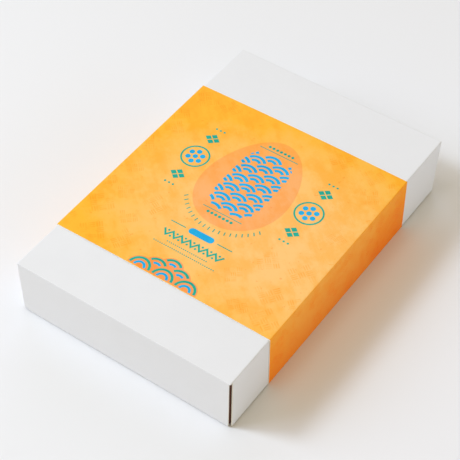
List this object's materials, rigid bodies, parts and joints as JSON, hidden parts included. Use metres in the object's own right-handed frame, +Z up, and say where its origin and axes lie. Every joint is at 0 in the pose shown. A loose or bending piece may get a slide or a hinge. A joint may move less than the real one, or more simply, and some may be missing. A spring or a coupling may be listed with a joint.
{
  "type": "sleeved gift carton",
  "caption": "Shut flat carton of white board with a printed paper sleeve round its middle, a food gift pack lying flat.",
  "frame": {"origin": "centre of the bounding box at its lowest plane, where the sleeve's underside rests", "axes": "+Y along the carton's long side towards its back, +X to the right, +Z up out of the lid"},
  "size_m": [0.2076, 0.3119, 0.0576],
  "materials": {
    "white_board": "matt white coated board",
    "orange_paper": "satin printed paper"
  },
  "bodies": {
    "root": {"carton": "white_board", "sleeve": "orange_paper"}
  },
  "joints": []
}
